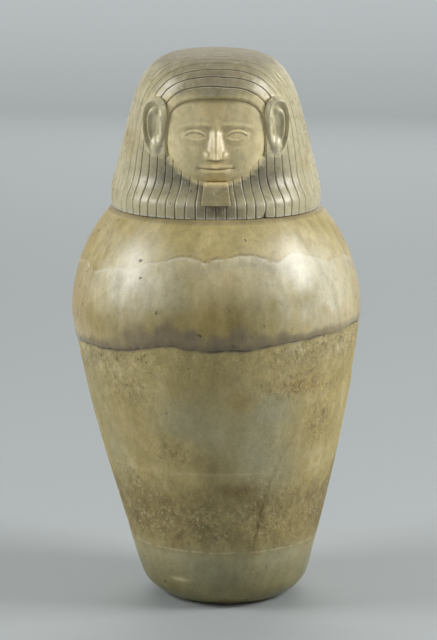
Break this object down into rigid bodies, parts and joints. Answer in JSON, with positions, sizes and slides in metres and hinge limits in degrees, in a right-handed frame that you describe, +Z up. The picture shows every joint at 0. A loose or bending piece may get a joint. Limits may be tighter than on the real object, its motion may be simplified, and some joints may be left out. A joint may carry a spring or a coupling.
{
  "type": "canopic jar",
  "caption": "Canopic jar of banded calcite: a hollow tapering vessel with a lift-off lid carved as a human head in a striated wig, with bare ears and a short beard.",
  "frame": {"origin": "on the underside, below the middle of the jar's widest part", "axes": "+Z up from the foot to the crown of the head, the face looks along -Y"},
  "size_m": [0.21, 0.21, 0.4],
  "materials": {
    "jar_calcite": "polished above the belly, weathered and pitted below it",
    "lid_calcite": "satin, with darker bands across the brow and beside the jaw"
  },
  "bodies": {
    "root": {"jar_body": "jar_calcite", "head_lid": "lid_calcite"}
  },
  "joints": []
}
